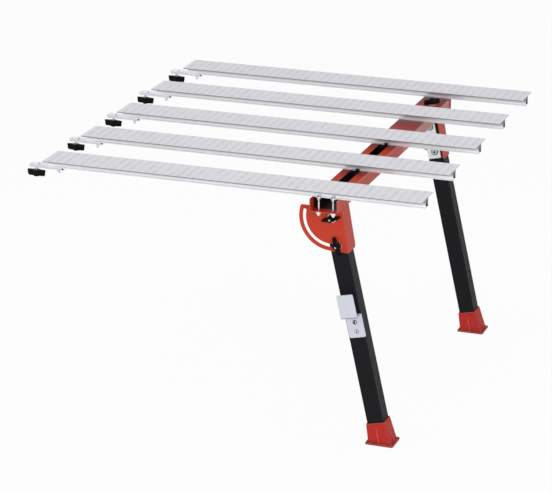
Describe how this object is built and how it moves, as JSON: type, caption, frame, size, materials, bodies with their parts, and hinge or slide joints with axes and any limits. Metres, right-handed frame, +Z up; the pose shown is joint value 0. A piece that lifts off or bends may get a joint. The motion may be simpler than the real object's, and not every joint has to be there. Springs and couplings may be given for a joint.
{
  "type": "workbench side extension",
  "caption": "Slatted aluminium side extension for a workbench, with a steel cross beam, folding legs on slotted quadrant brackets, and clamps for the bench rail.",
  "frame": {"origin": "on the floor under the middle of the whole object, with the legs opened", "axes": "+Z up; +X along the slats, away from the bench; +Y along the cross beam, from the leg with the hook to the other leg"},
  "size_m": [1.278, 1.2578, 0.8095],
  "materials": {
    "slat": "mill-finished extrusion, fine cross ribs",
    "red_steel": "powder coat, semi-gloss",
    "black_steel": "powder coat, satin",
    "plated": "bright zinc plate",
    "black_plastic": "moulded, fine grain",
    "red_plastic": "moulded, low sheen",
    "hook_coat": "pale powder coat, satin"
  },
  "bodies": {
    "table": {"beam_front": "red_steel", "beam_sleeve": "plated", "beam_rear": "red_steel", "beam_end_cap": "red_plastic", "bar_1_pins": "plated", "bar_5_pins": "plated", "bar_4_bolt": "plated", "beam_knob_washer": "plated", "beam_knob_bolt": "plated", "front_leg_bracket": "red_steel", "rear_leg_bracket": "red_steel", "bar_1": "slat", "clamp_arm_1": "plated", "clamp_screw_1": "plated", "bar_4": "slat", "clamp_arm_4": "plated", "clamp_screw_4": "plated", "bar_5": "slat", "clamp_arm_5": "plated", "clamp_screw_5": "plated"},
    "slat_2": {"bar_2": "slat", "bar_2_studs": "plated", "clamp_arm_2": "plated", "clamp_screw_2": "plated"},
    "slat_3": {"bar_3": "slat", "bar_3_studs": "plated", "clamp_arm_3": "plated", "clamp_screw_3": "plated"},
    "front_leg": {"front_leg_tube": "black_steel", "front_leg_back_plate": "plated", "front_leg_foot": "red_plastic", "front_leg_pivot_bolt": "plated", "front_leg_lock_bolt": "plated", "front_leg_washers": "plated", "leg_hook": "hook_coat", "leg_hook_screws": "plated"},
    "front_pivot_knob": {"front_leg_pivot_knob": "black_plastic"},
    "front_lock_knob": {"front_leg_lock_knob": "black_plastic"},
    "rear_leg": {"rear_leg_tube": "black_steel", "rear_leg_back_plate": "plated", "rear_leg_foot": "red_plastic", "rear_leg_pivot_bolt": "plated", "rear_leg_lock_bolt": "plated", "rear_leg_washers": "plated"},
    "rear_pivot_knob": {"rear_leg_pivot_knob": "black_plastic"},
    "rear_lock_knob": {"rear_leg_lock_knob": "black_plastic"},
    "beam_knob_body": {"beam_knob": "black_plastic"},
    "clamp_bolt_body_1": {"clamp_bolt_1": "plated"},
    "clamp_knob_body_1": {"clamp_knob_1": "black_plastic"},
    "clamp_bolt_body_2": {"clamp_bolt_2": "plated"},
    "clamp_knob_body_2": {"clamp_knob_2": "black_plastic"},
    "clamp_bolt_body_3": {"clamp_bolt_3": "plated"},
    "clamp_knob_body_3": {"clamp_knob_3": "black_plastic"},
    "clamp_bolt_body_4": {"clamp_bolt_4": "plated"},
    "clamp_knob_body_4": {"clamp_knob_4": "black_plastic"},
    "clamp_bolt_body_5": {"clamp_bolt_5": "plated"},
    "clamp_knob_body_5": {"clamp_knob_5": "black_plastic"}
  },
  "joints": [
    {"name": "front_leg_fold", "type": "hinge", "parent": "table", "child": "front_leg", "pos_m": [0.342, -0.5251, 0.707], "axis": [0, 1, 0], "range_deg": [0, 102.6]},
    {"name": "front_pivot_knob_turn", "type": "hinge", "parent": "front_leg", "child": "front_pivot_knob", "pos_m": [0.342, -0.56655, 0.707], "axis": [0, -1, 0], "continuous": true},
    {"name": "front_lock_knob_turn", "type": "hinge", "parent": "front_leg", "child": "front_lock_knob", "pos_m": [0.36076, -0.56655, 0.62307], "axis": [0, -1, 0], "continuous": true},
    {"name": "rear_leg_fold", "type": "hinge", "parent": "table", "child": "rear_leg", "pos_m": [0.342, 0.4819, 0.707], "axis": [0, 1, 0], "range_deg": [0, 102.6]},
    {"name": "rear_pivot_knob_turn", "type": "hinge", "parent": "rear_leg", "child": "rear_pivot_knob", "pos_m": [0.342, 0.52335, 0.707], "axis": [0, 1, 0], "continuous": true},
    {"name": "rear_lock_knob_turn", "type": "hinge", "parent": "rear_leg", "child": "rear_lock_knob", "pos_m": [0.36076, 0.52335, 0.62307], "axis": [0, 1, 0], "continuous": true},
    {"name": "beam_knob_turn", "type": "hinge", "parent": "table", "child": "beam_knob_body", "pos_m": [0.342, 0.4724, 0.7915], "axis": [0, 0, 1], "continuous": true},
    {"name": "slat_2_slide", "type": "slide", "parent": "table", "child": "slat_2", "axis": [0, 1, 0], "range_m": [-0.06, 0.06]},
    {"name": "slat_3_slide", "type": "slide", "parent": "table", "child": "slat_3", "axis": [0, 1, 0], "range_m": [-0.06, 0]},
    {"name": "clamp_bolt_1_lift", "type": "slide", "parent": "table", "child": "clamp_bolt_body_1", "axis": [0, 0, 1], "range_m": [0, 0.011]},
    {"name": "clamp_knob_1_turn", "type": "hinge", "parent": "clamp_bolt_body_1", "child": "clamp_knob_body_1", "pos_m": [-0.609, -0.5714, 0.751], "axis": [0, 0, 1], "continuous": true},
    {"name": "clamp_bolt_2_lift", "type": "slide", "parent": "slat_2", "child": "clamp_bolt_body_2", "axis": [0, 0, 1], "range_m": [0, 0.011]},
    {"name": "clamp_knob_2_turn", "type": "hinge", "parent": "clamp_bolt_body_2", "child": "clamp_knob_body_2", "pos_m": [-0.605, -0.2857, 0.751], "axis": [0, 0, 1], "continuous": true},
    {"name": "clamp_bolt_3_lift", "type": "slide", "parent": "slat_3", "child": "clamp_bolt_body_3", "axis": [0, 0, 1], "range_m": [0, 0.011]},
    {"name": "clamp_knob_3_turn", "type": "hinge", "parent": "clamp_bolt_body_3", "child": "clamp_knob_body_3", "pos_m": [-0.6, 0, 0.751], "axis": [0, 0, 1], "continuous": true},
    {"name": "clamp_bolt_4_lift", "type": "slide", "parent": "table", "child": "clamp_bolt_body_4", "axis": [0, 0, 1], "range_m": [0, 0.011]},
    {"name": "clamp_knob_4_turn", "type": "hinge", "parent": "clamp_bolt_body_4", "child": "clamp_knob_body_4", "pos_m": [-0.606, 0.2857, 0.751], "axis": [0, 0, 1], "continuous": true},
    {"name": "clamp_bolt_5_lift", "type": "slide", "parent": "table", "child": "clamp_bolt_body_5", "axis": [0, 0, 1], "range_m": [0, 0.011]},
    {"name": "clamp_knob_5_turn", "type": "hinge", "parent": "clamp_bolt_body_5", "child": "clamp_knob_body_5", "pos_m": [-0.609, 0.5714, 0.751], "axis": [0, 0, 1], "continuous": true}
  ]
}
